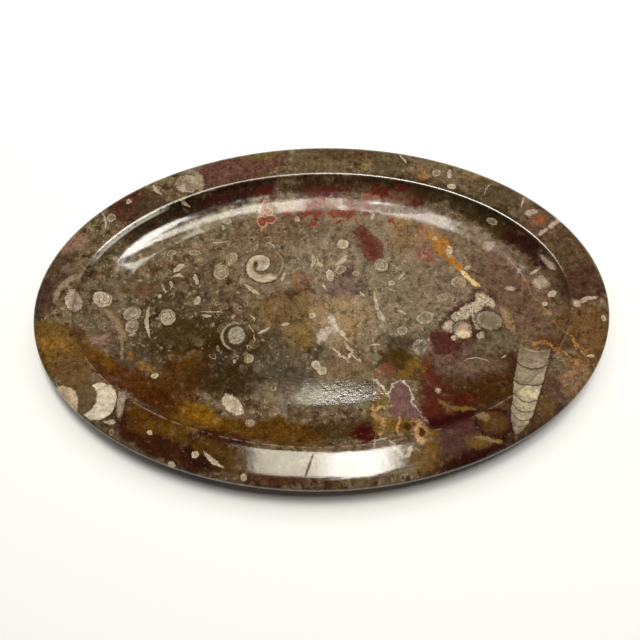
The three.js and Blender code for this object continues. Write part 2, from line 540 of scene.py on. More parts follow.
# Small shells cut across, as pale ovals: middle, half sizes and turn.
PALE_SHELLS = [
    (-57.5, -68.3, 9, 4.9, -50),
    (-84.3, 6.4, 2.6, 3.4, 0),
    (-110, 10, 1.2, 1.2, 0),
    (-98.6, 31.8, 4.4, 2, 42),
    (-86.6, 24, 1.5, 2.6, 15),
    (-85.2, 20.5, 1.3, 1.8, 0),
    (-102.8, 19.2, 1.2, 2.4, 20),
    (-57.2, -38.4, 1.2, 1.2, 0),
    (-4, -42, 3.4, 3, -30),
    (0, -46, 3, 3, 0),
    (6.5, 24, 2.6, 4.6, 10),
    (0, 32.6, 1.4, 2.2, 20),
    (16, 48.5, 4.2, 3.8, 0),
    (-105.5, -89, 1.6, 1.6, 0),
    (-77, -103, 2.2, 2.2, 0),
    (48.5, 17, 2.4, 1.9, 0),
    (-24, -12.6, 2.8, 0.9, 4),
    (89.5, 42, 3.4, 4.6, -20),
    (38.2, 71, 1.4, 2.6, -20),
    (155.5, 4.6, 2.8, 2.2, 30),
    (150.3, -2, 1.7, 1.4, 0),
    (94.2, 87, 3, 2.2, 0),
    (93.8, 97.6, 1.6, 3.8, -6),
    (-134.5, 79, 2, 2, 0),
    (-108.5, -47.6, 2.6, 2, 0),
    (-16, 70, 1.7, 2.4, 30),
    (-69, 63.5, 1, 2, 20),
    (-91, -108.4, 2.6, 1.6, -20),
    (-47.5, -117, 1.8, 2.4, 10),
    (-6, -6.5, 2.4, 2.2, 0),
    (170.3, -44, 2.4, 1.1, 0),
    (183.3, -18, 1.4, 2.4, 0),
    (33, -62, 1, 1, 0),
]

# Shells cut across that show a rim and a darker middle.
RINGED_SHELLS = [
    (53.6, -18.5, 3.6, 3.1, 0),
    (-104.5, 43.5, 3.6, 2.2, 30),
    (-88, 43.8, 4.6, 2, -8),
    (69.5, -9.5, 6.4, 4.6, 24),
    (82.6, 5.6, 4.6, 2.8, 20),
    (84.4, 98.6, 3.4, 3, 0),
    (-66, 68.5, 3.2, 2.4, 10),
    (-145.5, 65.5, 3, 3.6, 0),
    (24.5, 25, 2.6, 2.2, 30),
    (121, 61, 4, 2, -30),
    (14, 28.2, 4.4, 2.9, 32),
]

# Bowed slivers of shell: middle, half length, half width, turn and bow.
PALE_SLIVERS = [
    (38, 1, 13, 1.1, -80, 0.6),
    (40.6, -7.4, 6.4, 2.3, -66, 0.6),
    (-77.2, -5.4, 4.2, 1.1, -9, 0),
    (-74, -2.4, 9.5, 0.55, -3, 0),
    (-98.4, 24.6, 4, 1.5, 3, -1.6),
    (-107.8, 16.4, 4.6, 0.9, -66, 0),
    (-114.6, -9, 13.5, 1.7, -84, 2.6),
    (-126, -18.6, 3, 1.2, 20, -1),
    (-39, -16.4, 5.8, 1.2, 27, 0.8),
    (-47, -15.4, 4.2, 0.5, -62, 0),
    (-44.6, -22, 3.2, 0.5, -84, 0),
    (-46.8, -7.6, 3.6, 0.6, -52, -1),
    (-47.2, 14, 8, 1.7, -38, 0),
    (-26, 23.4, 4.2, 1.1, 74, 0),
    (-7.6, 35.4, 7.4, 1.7, 84, 3),
    (-3.6, 35, 5.4, 0.8, 84, 2),
    (14.2, 36.4, 6.6, 2, 44, 1.4),
    (11, 30, 4, 1, 60, 1),
    (53.8, -5.8, 4.4, 1, -26, -1),
    (48.4, 12, 5.2, 0.6, -20, 0),
    (56, 23, 5.4, 0.8, 50, 0),
    (34, 37.6, 2.6, 0.7, -18, 0),
    (2.6, 15, 4, 0.8, -66, 0),
    (28, 9, 2.6, 1.4, -50, 0),
    (118.6, -38.6, 2, 0.8, 34, 0),
    (-65.6, -105.4, 9.4, 1.6, -38, 1.6),
    (-130.4, -82, 4.4, 1.7, -6, 0),
    (146.2, 22, 4, 1, 24, 0),
    (37.6, -56.6, 4.6, 0.9, -52, 0),
    (35, -30, 5.6, 0.5, 0, -1.8),
    (100.6, -43, 10.6, 0.5, -2, -4),
    (-71, 33.8, 4, 0.7, 30, 0),
    (-115, 88.4, 6.4, 1.8, -52, 1),
    (-95.6, 78.6, 4.4, 1.2, -20, 0),
    (-151.4, 63, 9.4, 0.9, -74, -2),
    (61.2, 112, 6, 1.1, -60, 0),
    (120.4, 83.6, 6, 0.6, 56, -2),
    (143, 73, 6, 0.7, 70, 0),
    (96, -97.6, 8.4, 1.3, -12, -2),
    (-70, 51.8, 8.4, 0.45, 5, 0),
    (33.6, -25, 2.2, 0.6, 80, 0),
]

# The middle of the well's floor is worn dull, all round one oval that kept its polish.
WORN_FLOOR = (0, -48, 64, 36, 0)
KEPT_POLISH = (9, -68, 27, 14.5, -4)

# Where the stone took less polish: middle, half sizes and turn, soft border, share worn off.
DULL_PATCHES = [
    (-9, -111, 7.5, 0.8, 70, 0.2, 0.85),
    (-143, 23, 12, 12, 20, 0.3, 0.97),
    (-157, 28, 12, 8, 60, 0.3, 0.9),
    (-116, 47, 28, 3.4, 29, 0.3, 0.95),
    (-82, 76.5, 20, 3, 17, 0.3, 0.9),
    (2, 80, 12, 7, 0, 0.5, 0.75),
    (26, 82, 10, 6, 0, 0.5, 0.85),
    (-36, 76, 5, 6, 0, 0.4, 0.5),
    (-64, 68.5, 26, 3.4, 14, 0.3, 0.85),
    (52, 76, 30, 3, -8, 0.3, 0.85),
    (76, 72, 30, 9, -20, 0.3, 0.6),
    (120, 46, 34, 13, -40, 0.3, 0.95),
    (52, -114.4, 28, 2.8, 12, 0.3, 0.95),
    (22, -119.6, 24, 1.7, 5, 0.4, 0.9),
    (146, 14, 16, 9, -64, 0.3, 0.95),
    (58, -104, 12, 7, 20, 0.4, 0.6),
    (-66, -103, 14, 9, -16, 0.4, 0.9),
]


class Stone:
    """A stretch of the plate, seen from above, with a copy of the stone that holds its own marks.

    Each layer is laid over the colour so far. A mark costs time wherever its nodes run, so each
    copy leaves out the marks that don't reach it."""

    OVERLAP = 5  # how far past its edges a stretch still takes a mark in, in millimetres
    SPREAD = 1.3  # how far past its half sizes a mark's ragged border may reach
    PAST_OUTLINE = 1.5  # a ring's ramp of colours ends half as far out again as the outline

    def __init__(self, left, right, front, back):
        self.left, self.right = left, right
        self.front, self.back = front, back

    def meets(self, x, y, reach):
        """Whether a mark with this middle comes into the stretch."""
        reach += self.OVERLAP
        along = self.left - reach < x < self.right + reach
        return along and self.front - reach < y < self.back + reach

    def choose(self, rows, slack=0):
        """The marks of a list that come into the stretch. A row starts x, y and half sizes."""
        return [row for row in rows if self.meets(*row[:2], max(row[2:4]) * self.SPREAD + slack)]

    def lay_out(self, place):
        """Makes the patterns that the layers share, from a place in the stone in millimetres."""
        slow = noise(place, 16, 2, 0.5, "Color")
        self.hues = noise(place, 3.2, 2, 0.6, "Color")
        sockets = {0: place, 1: (1, 1, 0), 2: (0, 0, 1)}
        self.place = place
        self.height = Flow.node("SeparateXYZ", {}, {0: place}, "Z")
        self.flat = Flow.node("VectorMath", {"operation": "MULTIPLY_ADD"}, sockets)
        self.ruffled = shift(self.flat, self.hues, 2)
        self.wavy = shift(self.flat, self.hues, 6)
        self.adrift = shift(shift(self.flat, slow, 16), self.hues, 7)
        self.lumps = noise(place, 5.5, 4, 0.6)
        self.grain = noise(place, 1.5, 3, 0.65)

    def lay(self, cover, colour, way="MIX"):
        """Lays a colour over all that is there so far."""
        self.colour = over(cover, self.colour, colour, way)

    def mottle(self, pattern, low, high, dark, light):
        """Darkens and lightens all so far by a pattern: grey 0.5 leaves it as it is."""
        greys = ((low, dark), ((low + high) / 2, 0.5), (high, light))
        stops = [(place, (grey, grey, grey, 1)) for place, grey in greys]
        self.lay(1, Flow.node("ValToRGB", {"stops": stops}, {0: pattern}), "OVERLAY")

    def cloud(self, rows):
        """Lays soft clouds of colour, in the order of their list."""
        for x, y, half_long, half_wide, turn, soft, strength, stain in self.choose(rows, 8):
            distance = oval(self.adrift, x, y, half_long, half_wide, turn)
            self.lay(distance.step((1 + soft) ** 2, (1 - soft) ** 2, strength), stain)

    def stain(self, rows, stain, strength, soft=0.3, ragged=0, speck=None, place=None):
        """Stains a list of ovals with one colour, with a soft and more or less ragged border.

        A speck is the colour of dark grains in the stain."""
        rows = self.choose(rows)
        if not rows:
            return
        distance = ovals(place or self.ruffled, rows) + swing(self.grain, 0.9)
        if ragged:
            distance = distance + swing(self.lumps, ragged)
        if speck:
            stain = over(self.grain.step(0.52, 0.38, 0.85), stain, speck)
        self.lay(distance.step(1 + soft, 1 - soft, strength), stain)

    def ring(self, rows, stops):
        """Paints a list of ovals with a ramp of colours, from their middles out past the outline."""
        rows = self.choose(rows)
        if not rows:
            return
        distance = ovals(self.ruffled, rows) + swing(self.grain, 0.7)
        placed = [(at / self.PAST_OUTLINE, colour, cover) for at, colour, cover in stops]
        rings = ramp(distance / self.PAST_OUTLINE, placed)
        self.lay(rings.other("Alpha"), rings)

    def splinter(self, rows, stain, strength):
        """Paints a list of slivers with one colour."""
        rows = self.choose(rows)
        if rows:
            depth = slivers(self.ruffled, rows) + swing(self.grain, 0.8)
            self.lay(depth.step(0, 0.35, strength), stain)


# Coiled shells: middle, half sizes, turn, how many times the groove winds, and colour.
COILED_SHELLS = [
    (-69, 28, 5.6, 5.9, 160, 2.4, (164, 144, 114)),
    (-62, 38, 4.2, 5.9, -20, 2.4, (160, 140, 110)),
    (-103.6, -5.8, 5.6, 6.2, 200, 1.2, (176, 160, 134)),
    (-148, 7.4, 6, 6.4, 60, 1.2, (192, 172, 148)),
    (-127.6, -2.6, 6.2, 5.6, 0, 1.6, (158, 142, 120)),
    (-127, -11.8, 5.2, 4.8, 90, 1.4, (154, 138, 116)),
    (42, 31, 5, 5.4, 30, 2, (166, 150, 126)),
    (-48, -37, 3.2, 3.2, 0, 1, (150, 132, 104)),
    (94.5, 17, 5.6, 4.6, 0, 1.6, (168, 150, 122)),
    (-35, 47, 4, 4.6, 40, 1.2, (140, 124, 100)),
    (-45.5, -81, 3.2, 3, 0, 1.4, (150, 120, 90)),
    (64, -29, 4.6, 3.6, 40, 1.2, (150, 134, 110)),
]


def coiled_shells(stone):
    """Small shells cut across their coil: a dark groove winds out from the middle of each."""
    for x, y, half_long, half_wide, turn, whorls, stain in stone.choose(COILED_SHELLS):
        along, across = measured(stone.ruffled, x, y, half_long, half_wide, turn)
        reach = (along * along + across * across).maths("SQRT") + swing(stone.grain, 0.25)
        angle = across.maths("ARCTAN2", along) * (1 / math.tau)
        groove = (reach * whorls - angle).maths("FRACT")
        body = over(groove.step(0.5, 0.9, 0.4), stain, BONE)
        body = over(groove.step(0.22, 0.06, 0.75), body, (84, 68, 50))
        body = over(stone.grain.step(0.5, 0.36, 0.5), body, (96, 80, 60))
        stone.lay(reach.step(1.22, 1.0, 0.5), (58, 46, 32))
        stone.lay(reach.step(1.04, 0.92, 0.93), body)


# The large spiral: its middle, its growth in a turn, its radius at 0 degrees and its mouth.
SPIRAL = (-41.2, 33.2, 3.0, 6.5, 0.875)


def shell_spiral(stone):
    """The large goniatite in the well, cut through its middle: one whorl and a half."""
    x, y, growth, first_radius, mouth = SPIRAL
    if not stone.meets(x, y, 18):
        return
    along, across = measured(stone.ruffled, x, y, first_radius, first_radius, 0)
    angle = across.maths("ARCTAN2", along) * (1 / math.tau)
    squared = along * along + across * across
    wound = squared.maths("LOGARITHM", growth**2) - angle
    whorl = wound.maths("FRACT")
    outside = wound.maths("CEIL") + angle
    inside = outside.step(mouth + 0.02, mouth - 0.02)
    reach = squared.maths("SQRT")
    outer = oval(stone.ruffled, x + 3.8, y + 0.6, 12.2, 12.8)
    stone.lay(outer.step(1.3, 1.0, 0.5), (66, 50, 34))
    stone.lay(outer.step(1.02, 0.9, 0.7), (124, 104, 76))
    rim = abs(outer - 0.84).step(0.16, 0.06, 0.5) * along.step(1, 1.8)
    stone.lay(rim, (176, 156, 128))
    stops = [
        (0.0, (64, 50, 36), 0.9),
        (0.06, (100, 82, 60), 0.85),
        (0.12, (122, 102, 78), 0.8),
        (0.36, (112, 92, 68), 0.8),
        (0.46, (168, 150, 124), 0.95),
        (0.68, (184, 166, 138), 0.95),
        (0.86, (202, 186, 160), 0.95),
        (0.92, (150, 130, 104), 0.9),
        (0.97, (58, 44, 30), 0.95),
        (1.0, (52, 40, 28), 0.95),
    ]
    shell = ramp(whorl, stops)
    cover = shell.other("Alpha") * inside * reach.step(0.3, 0.6)
    stone.lay(cover, shell)
    heart = oval(stone.ruffled, x + 1.2, y + 2.2, 4.3, 4.6, 0).step(1.2, 0.7, 0.85)
    stone.lay(heart, (178, 158, 140))
    hook = oval(stone.ruffled, x + 0.6, y - 2.6, 4.4, 2.2, 12).step(1.2, 0.6, 0.8)
    stone.lay(hook, (206, 190, 172))
    notch = oval(stone.ruffled, x - 3.6, y + 0.6, 1.3, 2.2, 20).step(1.3, 0.5, 0.8)
    stone.lay(notch, (58, 46, 36))


# The orthoceras: its tip, its heading and its length.
ORTHOCERAS = (116.2, -94, 69.4, 61.5)

# Its walls, in millimetres from the tip, and the colours of the chambers between them.
SEPTUM = (74, 58, 42)
SEPTA = (5.0, 9.4, 15.0, 22.0, 33.5, 47.5)
CHAMBERS = [
    (0.0, (120, 104, 84)), (4.4, (156, 140, 118)), (5.6, (160, 144, 120)),
    (8.8, (166, 150, 126)), (10.1, (172, 156, 130)), (14.3, (178, 162, 134)),
    (15.8, (174, 158, 130)), (21.2, (182, 166, 136)), (22.9, (178, 162, 134)),
    (28, (214, 198, 158)), (32.6, (178, 162, 134)), (34.5, (152, 136, 112)),
    (40, (170, 154, 130)), (46.4, (154, 138, 114)), (48.7, (162, 146, 122)),
    (56, (146, 130, 108)), (60.5, (134, 118, 96)), (62, (178, 162, 136)),
]


def orthoceras(stone):
    """The straight chambered shell at the near right, with its tip towards the near rim."""
    x, y, turn, length = ORTHOCERAS
    if not stone.meets(x + 11, y + 29, 34):
        return
    along, across = measured(stone.ruffled, x, y, 1, 1, turn)
    blunt = (along / 15).least(1).most(0.0001).maths("SQRT")
    half = (along * 0.05 + 6) * blunt
    side = across / half
    squared = side * side
    chamber = along - squared * 3.5
    shape = squared.step(1.12, 0.9) * along.step(0, 0.6)
    shape = shape * (along - squared * 3).step(length + 1, length - 0.6)
    outline = squared.step(1.5, 1.1) * along.step(-1, 0.5) * along.step(length + 1.5, length - 0.5)
    stone.lay(outline * 0.7, (58, 40, 30))
    stops = sorted(CHAMBERS + [(at, SEPTUM) for at in SEPTA])
    placed = [(at / length, stain, 1) for at, stain in stops]
    body = ramp(chamber / length, placed)
    shaded = over(side.step(0.1, 1.0, 0.35), body, (96, 84, 64))
    stone.lay(shape * 0.95, shaded)


# The red marks, as middle, half sizes and turn.
RED_CLOUDS = [
    (-4, 78, 7, 6.5, 10),
    (2, 84, 5, 3.4, 0),
    (-4.5, 65, 2.8, 3, 0),
    (12, 74, 5, 6, 10),
    (20, 74, 6, 5, 0),
    (14, 67.5, 3.6, 2.2, 0),
    (25, 69.5, 4, 2.6, -40),
    (34, 78, 3.6, 6, 10),
    (36, 85, 6, 3.4, 0),
    (-22, 74.6, 2.6, 2.4, 0),
    (52, 67, 3, 3.4, 0),
]

# The red marks where they run onto the far wall: the stone's red, laid darker as painted shade.
WALL_REDS_IN_PAINTED_SHADE = [
    (8, 89, 14, 3, 0),
    (44, 90, 10, 3.6, -6),
    (58, 90, 7, 3, -10),
    (-40, 89, 6, 3.4, 20),
    (66, 78, 4, 3, 0),
]

RED_SHELLS = [
    (-41.3, 68.4, 3.4, 5, 12),
    (-35.6, 70.2, 5, 3.4, 4),
    (-40.4, 78.6, 2.4, 6, -14),
    (-36.6, 76.2, 3, 2.7, 0),
]


def red_marks(stone):
    """The brick-red calcite along the far side of the well, in blots with pale borders; on the far
    wall it is laid darker, as painted shade.
    """
    haze = [(8, 80, 38, 9, 0), (52, 84, 14, 6, 0)]
    stone.stain(haze, (128, 76, 58), 0.5, 0.5, 2.2)
    pale, red, dark = (176, 136, 110), (140, 72, 54), (80, 34, 26)
    stone.stain(RED_CLOUDS, pale, 0.6, 0.3, 3)
    stone.stain(RED_CLOUDS, red, 0.9, 0.3, 4.6, dark)
    # Painted shade: the red on the far wall is laid darker.
    stone.stain(WALL_REDS_IN_PAINTED_SHADE, (92, 38, 30), 0.85, 0.4, 5, dark)
    stops = [
        (0.0, (150, 84, 64), 0.95),
        (0.7, (134, 64, 48), 0.95),
        (0.92, (204, 160, 130), 0.9),
        (1.04, (190, 146, 116), 0.6),
        (1.2, (180, 140, 110), 0),
    ]
    stone.ring(RED_SHELLS, stops)


def maroon_blot(stone):
    """The maroon blot in the far right of the well, and the red cluster beyond it."""
    rows = strand((30, 59, 6), (32, 54, 9), (37, 47, 14), (36.5, 39, 9))
    rows += [(40, 45, 5.4, 7.4, 0), (33.4, 43, 4.6, 5, 0)]
    stone.stain(rows, (110, 66, 53), 0.85, 0.25, 0.8)
    rows = [(37, 43, 4, 4, 0), (34, 50, 3, 4, 0), (31, 57, 2, 3, 0)]
    stone.stain(rows, (92, 46, 38), 0.6, 0.5, 1.5)
    rows = [(72, 39, 7, 4.4, 0), (77, 42, 3, 2, 0)]
    stone.stain(rows, (150, 106, 86), 0.7, 0.35, 3)
    stone.stain(rows, (118, 62, 50), 0.8, 0.3, 5, (170, 140, 118))


def orange_veins(stone):
    """Orange and cream calcite veins at the right of the well."""
    veins = strand((78, 55, 4), (84, 47, 9), (88, 39, 7), (93, 31, 6), (97, 26, 4))
    stone.stain(veins, (130, 88, 48), 0.8, 0.35, 2.4)
    stone.stain(veins, (176, 120, 54), 0.8, 0.3, 5)
    veins = strand((98, 25, 2.4), (102, 19, 4.4), (107, 14.6, 3))
    stone.stain(veins, (228, 194, 132), 0.9, 0.3, 0.8)
    veins = [(90, 40, 2, 3.4, 10), (102, 28, 2.6, 1.6, 40), (81, 52, 2, 2, 0)]
    stone.stain(veins, (196, 176, 146), 0.75, 0.3, 1)
    streaks = strand((103, 26, 1.6), (107, 24, 2.4), (110, 22, 1.6))
    stone.stain(streaks, (92, 52, 28), 0.8, 0.4, 2)
    veins = [(95, 16, 4.6, 4, 0)]
    stone.stain(veins, (150, 124, 92), 0.7, 0.3, 0.6)
    net = strand((131, -28, 0.5), (139, -31, 0.8), (146, -30, 2.4), (149, -35, 2.6), (151, -41, 1))
    net += strand((152, -10, 0.7), (155, -20, 0.7), (160, -32, 0.9), (165, -41, 1.2), (168, -48, 0.6))
    net += strand((150, -36, 0.7), (157, -45, 1.4), (162, -52, 0.8), (166, -58, 0.5))
    net += strand((160, -30, 0.5), (165, -38, 0.7), (172, -42, 0.8)) + [(160, -48, 3, 1.1, -50)]
    net += strand((165, -41, 0.5), (160, -48, 0.7), (163, -56, 0.5)) + [(142, -30.4, 3, 1.6, 10)]
    stone.stain(net, (74, 42, 28), 0.7, 0.8, 2, place=stone.wavy)
    stone.stain(net, (180, 134, 76), 0.8, 0.35, 3, (120, 78, 40), place=stone.wavy)
    line = strand((128, 38, 1), (137, 24, 1.3), (141, 15, 1), (143, 5, 1.2), (147, 0, 1))
    line += strand((147, 0, 1), (152, -10, 1.2))
    stone.stain(line, (150, 116, 82), 0.75, 0.4, 0.6)
    blobs = [(151, -9.5, 2.6, 2.8, 0), (122.5, -9, 2.2, 5, 10)]
    stone.stain(blobs, (152, 124, 92), 0.8, 0.4, 3)


def scalloped_shell(stone):
    """The cream scalloped mass and the mottled chambers at the head of the orthoceras."""
    cream = [
        (109, 3.5, 5, 5.4, 0),
        (114.5, 0.5, 2.6, 4.4, 20),
        (102.5, -2.5, 6.4, 4.6, 30),
        (96, -6.5, 6, 4, 35),
        (91, -9.5, 4.4, 3.2, 20),
        (84.5, -16, 3.6, 4.8, -20),
        (103.5, -12, 2.6, 6, 10),
        (88, -24.4, 3, 1.8, 20),
        (105, -23.4, 3, 2.4, 60),
    ]
    dark = [(x - 1.4, y + 1, long + 1.2, wide + 1.2, turn) for x, y, long, wide, turn in cream]
    stone.stain(dark, (70, 34, 30), 0.8, 0.25, 1)
    stone.stain(cream, (200, 184, 156), 0.95, 0.2, 1.6, (118, 96, 76))
    stops = [
        (0.0, (132, 118, 96), 0.95),
        (0.55, (126, 112, 90), 0.95),
        (0.86, (158, 142, 118), 0.95),
        (0.97, (60, 46, 36), 0.95),
        (1.14, (60, 46, 36), 0),
    ]
    stone.ring([(112, -12.2, 9.6, 7.4, -16)], stops)
    stops = [
        (0.0, (190, 164, 134), 0.95),
        (0.6, (160, 138, 116), 0.95),
        (0.86, (138, 120, 100), 0.95),
        (0.97, (60, 40, 34), 0.95),
        (1.16, (60, 40, 34), 0),
    ]
    stone.ring([(93.8, -18.4, 6.8, 6.6, 0)], stops)
    stone.stain([(94, -22, 4.6, 3, 0)], (226, 202, 164), 0.85)
    lobes = [(64.5, -31, 4.6, 5.6, -30), (69, -25, 2.4, 3, 0)]
    stone.stain(lobes, (168, 156, 134), 0.85, 0.2, 1)
    stone.stain(lobes, (92, 70, 66), 0.8, 0.3, 5)


def skeletal_outline(stone):
    """The pale, broken cross-section in the middle of the well."""
    inside = [(15, -33, 3.4, 5, 0)]
    stone.stain(inside, (128, 84, 64), 0.5, 0.5)
    lobe = [(0.6, -21, 3.6, 5.4, -20), (7.2, -11.2, 3.2, 4.6, 0), (8.6, -17, 2.2, 3.4, 0)]
    lobe += [(4.4, -16.8, 2.2, 2.6, 0)]
    stone.stain([(5, -24, 3.4, 4.6, 0)], (146, 132, 112), 0.7, 0.4, 2)
    stone.stain(lobe, (96, 80, 60), 0.8, 0.5, 1)
    stone.stain(lobe, (206, 192, 172), 0.95, 0.3, 2, (160, 142, 122))
    lines = strand((9, -15, 1.8), (14, -20, 1.6), (17, -25, 1.4))
    lines += strand((13, -19, 1.2), (16, -27, 1.2))
    lines += strand((16, -28, 1.4), (19, -33, 1.6), (17, -39, 1.6))
    lines += strand((7, -30, 1.4), (12, -36, 1.6), (18, -40, 1.8))
    lines += strand((20, -36, 1.2), (25, -40, 1.2))
    stone.stain(lines, (206, 192, 168), 0.85, 0.45, 1, place=stone.wavy)


def purple_patch(stone):
    """The purple shell with its white edge, and the cream veins and rings beside it."""
    rows = [(50, -41, 13, 8, 0), (56, -48, 9, 5, 20)]
    stone.stain(rows, (72, 54, 20), 0.8, 0.4, 1.4)
    rows = [(53, -49, 10, 3, 14), (60, -43, 5, 3, 40), (37, -67, 4, 4, 0), (36, -84, 4, 7, 0)]
    stone.stain(rows, (124, 94, 36), 0.75, 0.4, 6)
    rows = [(43, -46, 5, 4, 0), (36, -49, 3, 2, 0)]
    stone.stain(rows, (128, 74, 56), 0.8, 0.4, 3)
    bodies = [(50, -65, 7.6, 11, -6), (48, -74, 7.6, 5.6, 0), (56, -74, 5, 8, 30)]
    stone.stain(bodies, (116, 84, 80), 0.9, 0.14, 0.7)
    bodies = [(36, -99, 6.6, 4.4, 0)]
    stone.stain(bodies, (128, 104, 92), 0.8, 0.2, 0.8)
    edge = strand((43, -68, 0.9), (42, -62, 1), (45, -57, 1.3), (50, -53, 1.5), (54, -57, 1.2))
    edge += strand((54, -57, 1.2), (57, -62, 1.6), (57, -70, 1.2), (61, -77, 1.3), (66, -86, 1.3))
    edge += strand((30, -100, 1.2), (31, -95.4, 1.6), (35, -93.8, 1.6), (39, -95, 1.4))
    edge += strand((39, -95, 1.2), (42, -100, 1.6), (47, -106, 2)) + [(51, -103, 2, 4, -30)]
    edge += strand((34, -53, 2.4), (37, -57, 2.6), (40, -60, 2)) + [(73.5, -61, 1.3, 1.6, 30)]
    stone.stain(edge, (200, 184, 164), 0.85, 0.4, 2, place=stone.wavy)
    olive = [(51.5, -85, 3.6, 5, 0), (44, -84, 2.6, 5, 0)]
    stone.stain(olive, (116, 82, 22), 0.9, 0.3, 1)
    stone.stain([(52, -86, 1.8, 3, 0)], (46, 26, 8), 0.85, 0.4, 1)
    veins = strand((32, -72, 2.6), (33, -78, 3), (38, -80, 3.2), (37, -85, 3.4), (35, -90, 2.4))
    veins += strand((32, -72, 2), (37, -71.5, 2), (42, -71, 1.6))
    veins += strand((48, -80, 1.6), (46, -85, 2), (46, -92, 1.8)) + [(57, -82, 4, 1.1, -10)]
    stone.stain(veins, (190, 150, 100), 0.9, 0.35, 2.4, (128, 92, 56), place=stone.wavy)
    stops = [
        (0.0, (40, 24, 12), 0.95),
        (0.38, (70, 46, 18), 0.95),
        (0.52, (186, 138, 86), 0.95),
        (0.85, (206, 162, 112), 0.9),
        (1.05, (170, 124, 84), 0.6),
        (1.2, (140, 100, 70), 0),
    ]
    stone.ring([(60.2, -91, 4.6, 8.6, -6)], stops)


def dark_chamber(stone):
    """The dark wall below the well's right side, its ochre curve, and the shell at the rim."""
    red = [(68, -72, 8, 13, 0), (78, -82, 14, 6, 10)]
    stone.stain(red, (84, 38, 28), 0.8, 0.35, 1)
    deep = [(76, -84, 15, 4.6, 10), (88, -80, 10, 4, 16), (92, -105, 24, 4, 22)]
    stone.stain(deep, (48, 14, 9), 0.85, 0.4, 1)
    plum = [(76, -96, 9, 8, 30), (86, -90, 7, 6, 20)]
    stone.stain(plum, (80, 50, 46), 0.8, 0.35, 1)
    leaf = [(64, -101, 4.4, 12, -10), (58, -110, 6, 5, 0), (94, -98, 9, 4.4, 0)]
    stone.stain(leaf, (112, 82, 38), 0.8, 0.3, 1.6)
    stops = [
        (0.0, (100, 74, 36), 0.9),
        (0.7, (84, 54, 28), 0.9),
        (0.93, (62, 30, 22), 0.9),
        (1.0, (40, 12, 12), 0.9),
        (1.16, (40, 12, 12), 0),
    ]
    stone.ring([(104, -86.5, 11, 8.6, 0)], stops)
    glow = [(97, -82, 4, 2.6, -20), (103, -98, 4, 1.2, -10), (120, -78, 3, 6, -10)]
    stone.stain(glow, (150, 122, 80), 0.7, 0.4, 2)
    curve = strand((74, -68, 2), (78, -72, 3), (84, -74.5, 3), (90, -75, 2.6), (94, -76, 2))
    stone.stain(curve, (122, 96, 46), 0.8, 0.4, 4)


# Middle and radius of each crescent's disc and of the hole that leaves the crescent.
CRESCENTS = [
    (-163, -70, 11.4, -170, -78, 10, (202, 178, 148)),
    (-139, -68.4, 11.2, -149.6, -66.5, 9.6, (216, 202, 178)),
]


def cream_crescents(stone):
    """The two large cream crescents on the near left of the rim."""
    if not stone.meets(-150, -68, 30):
        return
    band = [(-147.5, -68, 6.4, 12, 0)]
    stone.stain(band, (104, 84, 60), 0.85, 0.2)
    for x, y, radius, hole_x, hole_y, hole_radius, stain in CRESCENTS:
        disc = oval(stone.ruffled, x, y, radius, radius * 1.06)
        hole = oval(stone.ruffled, hole_x, hole_y, hole_radius, hole_radius * 1.06)
        cover = disc.step(1.1, 0.92) * hole.step(0.9, 1.12)
        stone.lay(cover * 0.95, stain)
    band = [(-125, -70, 2.4, 10, 0)]
    stone.stain(band, (160, 144, 124), 0.8, 0.2)
    line = strand((-128, -60, 0.8), (-127.6, -68, 0.9), (-129, -76, 0.8))
    stone.stain(line, (52, 40, 28), 0.8, 0.4)


def left_rim_shells(stone):
    """The shells on the left and far left of the rim, and the stripe beside them."""
    stops = [
        (0.0, (158, 138, 116), 0.85),
        (0.5, (182, 162, 142), 0.9),
        (0.9, (188, 168, 146), 0.9),
        (1.02, (60, 46, 34), 0.7),
        (1.16, (60, 46, 34), 0),
    ]
    rows = [(-94, 93, 9, 8, 0), (-164.5, 2.6, 4.8, 7.8, 8)]
    stone.ring(rows, stops)
    hearts = [(-97, 95, 5, 4, 20), (-91, 90, 4, 3, 0)]
    stone.stain(hearts, (120, 98, 78), 0.7, 0.4, 5)
    tan = [(-125.4, -33.8, 2.8, 3.8, 20), (-116, -41, 6, 3.4, -30), (-110, -44, 3, 2.4, -20)]
    stone.stain(tan, (138, 100, 56), 0.8, 0.3, 1.5, (84, 54, 28))
    band = strand((-96, 104, 3.6), (-88, 102, 4.4), (-84, 95, 4.6), (-84.5, 88, 3.4))
    band += strand((48, 33, 1.8), (56, 27, 1.6), (59.5, 22, 1.4), (54, 18, 1))
    stone.stain(band, (154, 140, 116), 0.85, 0.3)
    crescent = strand((-163, 20, 4), (-169, 16.5, 5), (-174, 10, 4), (-176, 3, 2.4))
    stone.stain(crescent, (152, 130, 108), 0.85, 0.3)
    stone.stain([(-169, 26, 6, 3.4, 20)], (124, 106, 86), 0.7)
    stripe = strand((-144, -2, 3), (-138, -8, 4), (-134, -15, 4.4), (-131, -21, 3.2))
    stripe += strand((-133, -20, 2), (-131.6, -28, 2.4), (-131, -36, 1.6))
    stone.stain(stripe, (160, 130, 98), 0.75, 0.45)


